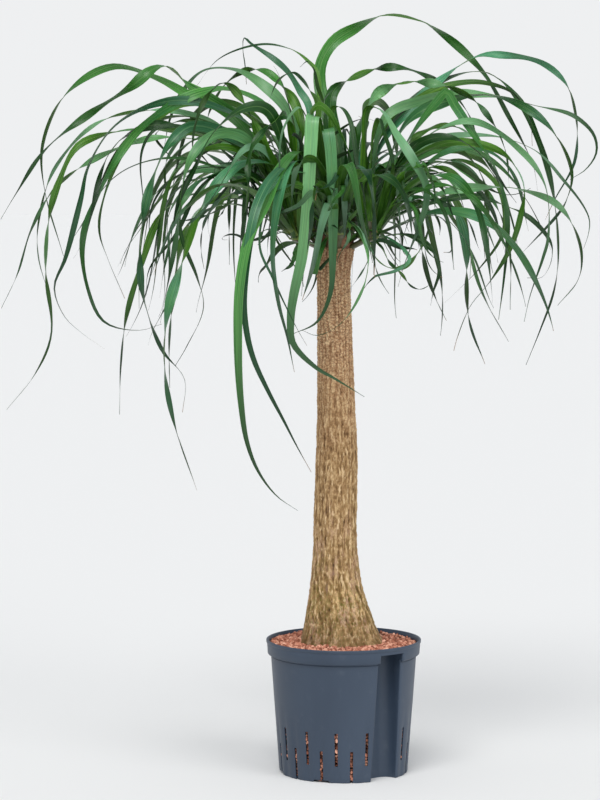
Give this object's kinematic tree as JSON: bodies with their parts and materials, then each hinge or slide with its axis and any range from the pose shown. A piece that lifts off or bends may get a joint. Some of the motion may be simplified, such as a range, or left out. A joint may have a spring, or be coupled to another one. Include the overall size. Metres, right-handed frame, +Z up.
{
  "type": "potted ponytail palm",
  "caption": "Tall potted house plant: a bare woody trunk with heads of long arching strap leaves, standing in a slotted plastic culture pot filled with clay granules.",
  "frame": {"origin": "middle of the pot's standing face", "axes": "+Z up along the trunk, +X to the right seen from the front, +Y away from the viewer"},
  "size_m": [0.8564, 0.6653, 1.0838],
  "materials": {
    "pot_plastic": "satin moulded plastic",
    "fired_clay": "rough fired clay granules",
    "bark": "furrowed bark",
    "leaf": "satin green strap leaf"
  },
  "bodies": {
    "root": {"culture_pot": "pot_plastic", "clay_granules": "fired_clay", "trunk": "bark", "leaf_head_front": "leaf", "leaf_head_right_front": "leaf", "leaf_head_right_back": "leaf", "leaf_head_left_back": "leaf", "leaf_head_left_front": "leaf"}
  },
  "joints": []
}
